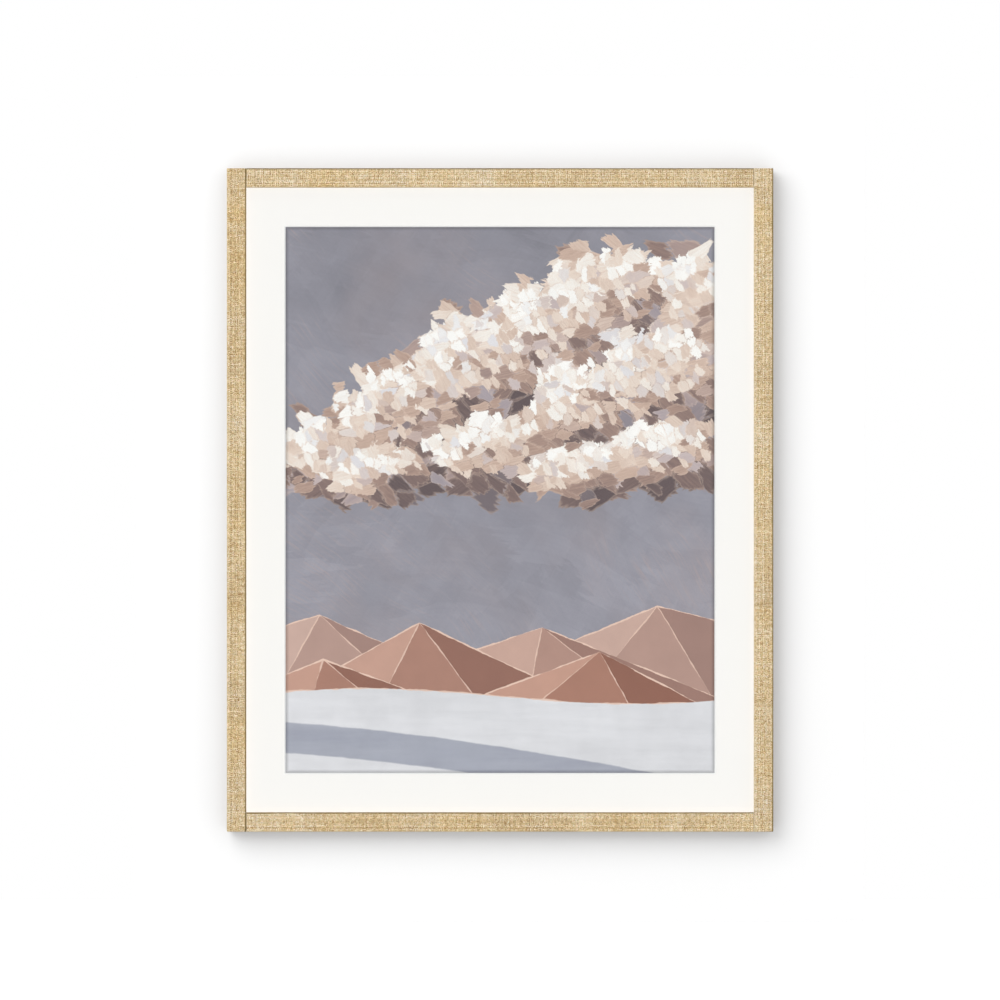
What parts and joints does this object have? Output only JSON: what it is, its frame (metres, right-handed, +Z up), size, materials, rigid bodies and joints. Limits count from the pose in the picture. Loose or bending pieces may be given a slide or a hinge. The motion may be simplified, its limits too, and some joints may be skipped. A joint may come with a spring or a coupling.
{
  "type": "framed art print",
  "caption": "Print behind glass with a wide off-white mat, in a linen-covered wooden frame with butt joints and sawtooth hangers for a wall.",
  "frame": {"origin": "on the wall, midway between the two hangers, level with the notches that rest on the wall's nails", "axes": "+Z up, +Y into the wall that the picture hangs on, +X to the right as the picture is looked at"},
  "size_m": [0.7112, 0.0295, 0.8636],
  "materials": {
    "linen": "matte",
    "pine": "matte",
    "beech": "matte",
    "glass": "polished",
    "mat_board": "matte",
    "art_paper": "matte",
    "foam_board": "matte",
    "kraft_paper": "matte",
    "point_steel": "satin",
    "zinc_plate": "satin",
    "nail_steel": "satin",
    "felt": "matte"
  },
  "bodies": {
    "root": {"left_stile": "pine", "right_stile": "pine", "top_rail": "pine", "bottom_rail": "pine", "left_stile_linen": "linen", "right_stile_linen": "linen", "top_rail_linen": "linen", "bottom_rail_linen": "linen", "top_left_front_dowel": "beech", "top_left_back_dowel": "beech", "top_right_front_dowel": "beech", "top_right_back_dowel": "beech", "bottom_left_front_dowel": "beech", "bottom_left_back_dowel": "beech", "bottom_right_front_dowel": "beech", "bottom_right_back_dowel": "beech", "glazing": "glass", "window_mat": "mat_board", "art_print": "art_paper", "backing_board": "foam_board", "left_stile_point_1": "point_steel", "left_stile_point_2": "point_steel", "left_stile_point_3": "point_steel", "left_stile_point_4": "point_steel", "right_stile_point_1": "point_steel", "right_stile_point_2": "point_steel", "right_stile_point_3": "point_steel", "right_stile_point_4": "point_steel", "top_rail_point_1": "point_steel", "top_rail_point_2": "point_steel", "top_rail_point_3": "point_steel", "bottom_rail_point_1": "point_steel", "bottom_rail_point_2": "point_steel", "bottom_rail_point_3": "point_steel", "dust_cover": "kraft_paper", "left_hanger": "zinc_plate", "right_hanger": "zinc_plate", "left_hanger_left_nail": "nail_steel", "left_hanger_right_nail": "nail_steel", "right_hanger_left_nail": "nail_steel", "right_hanger_right_nail": "nail_steel", "left_bumper": "felt", "right_bumper": "felt"}
  },
  "joints": []
}
